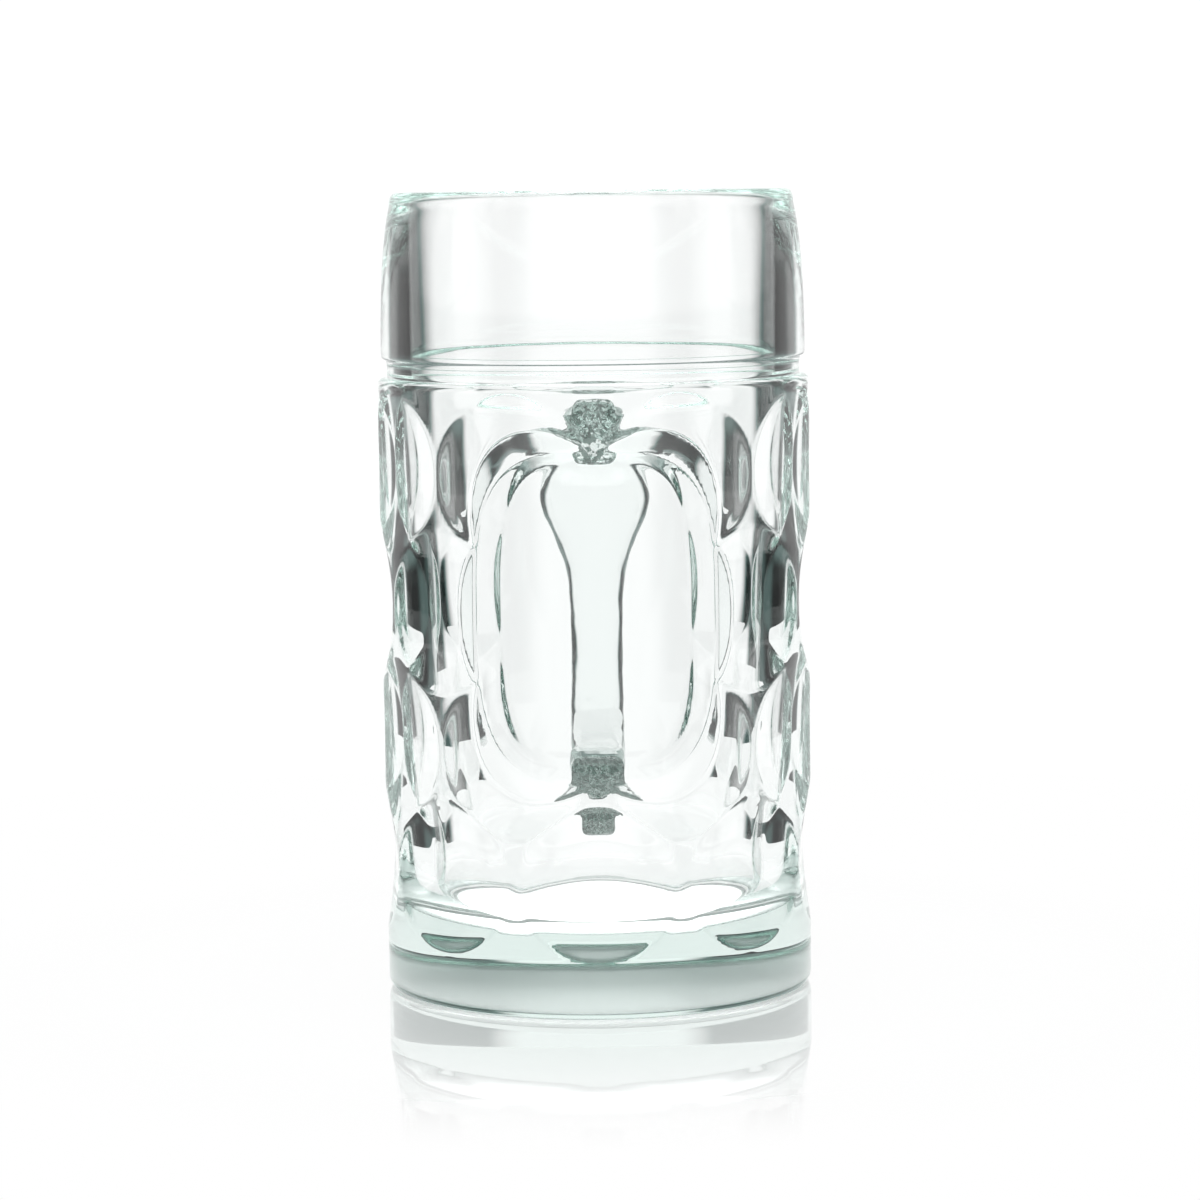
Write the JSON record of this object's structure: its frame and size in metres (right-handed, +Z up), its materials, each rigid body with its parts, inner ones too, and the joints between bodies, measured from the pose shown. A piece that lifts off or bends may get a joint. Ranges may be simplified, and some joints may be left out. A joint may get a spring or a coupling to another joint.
{
  "type": "beer mug",
  "caption": "Heavy clear glass beer mug with a smooth lip band, staggered rows of round dimples, plain oval panels front and back, a thick foot and a strap handle.",
  "frame": {"origin": "on the mug's axis, at the surface that it stands on", "axes": "+Z up along the mug's axis, +Y towards the handle, -Y towards the front, +X to the right as seen from the front"},
  "size_m": [0.1084, 0.1563, 0.2],
  "materials": {
    "body_glass": "clear pressed glass with a faint green cast, fire polished",
    "handle_glass": "clear pressed glass with a faint green cast and fine chill marks"
  },
  "bodies": {
    "root": {"glass_body": "body_glass", "handle": "handle_glass"}
  },
  "joints": []
}
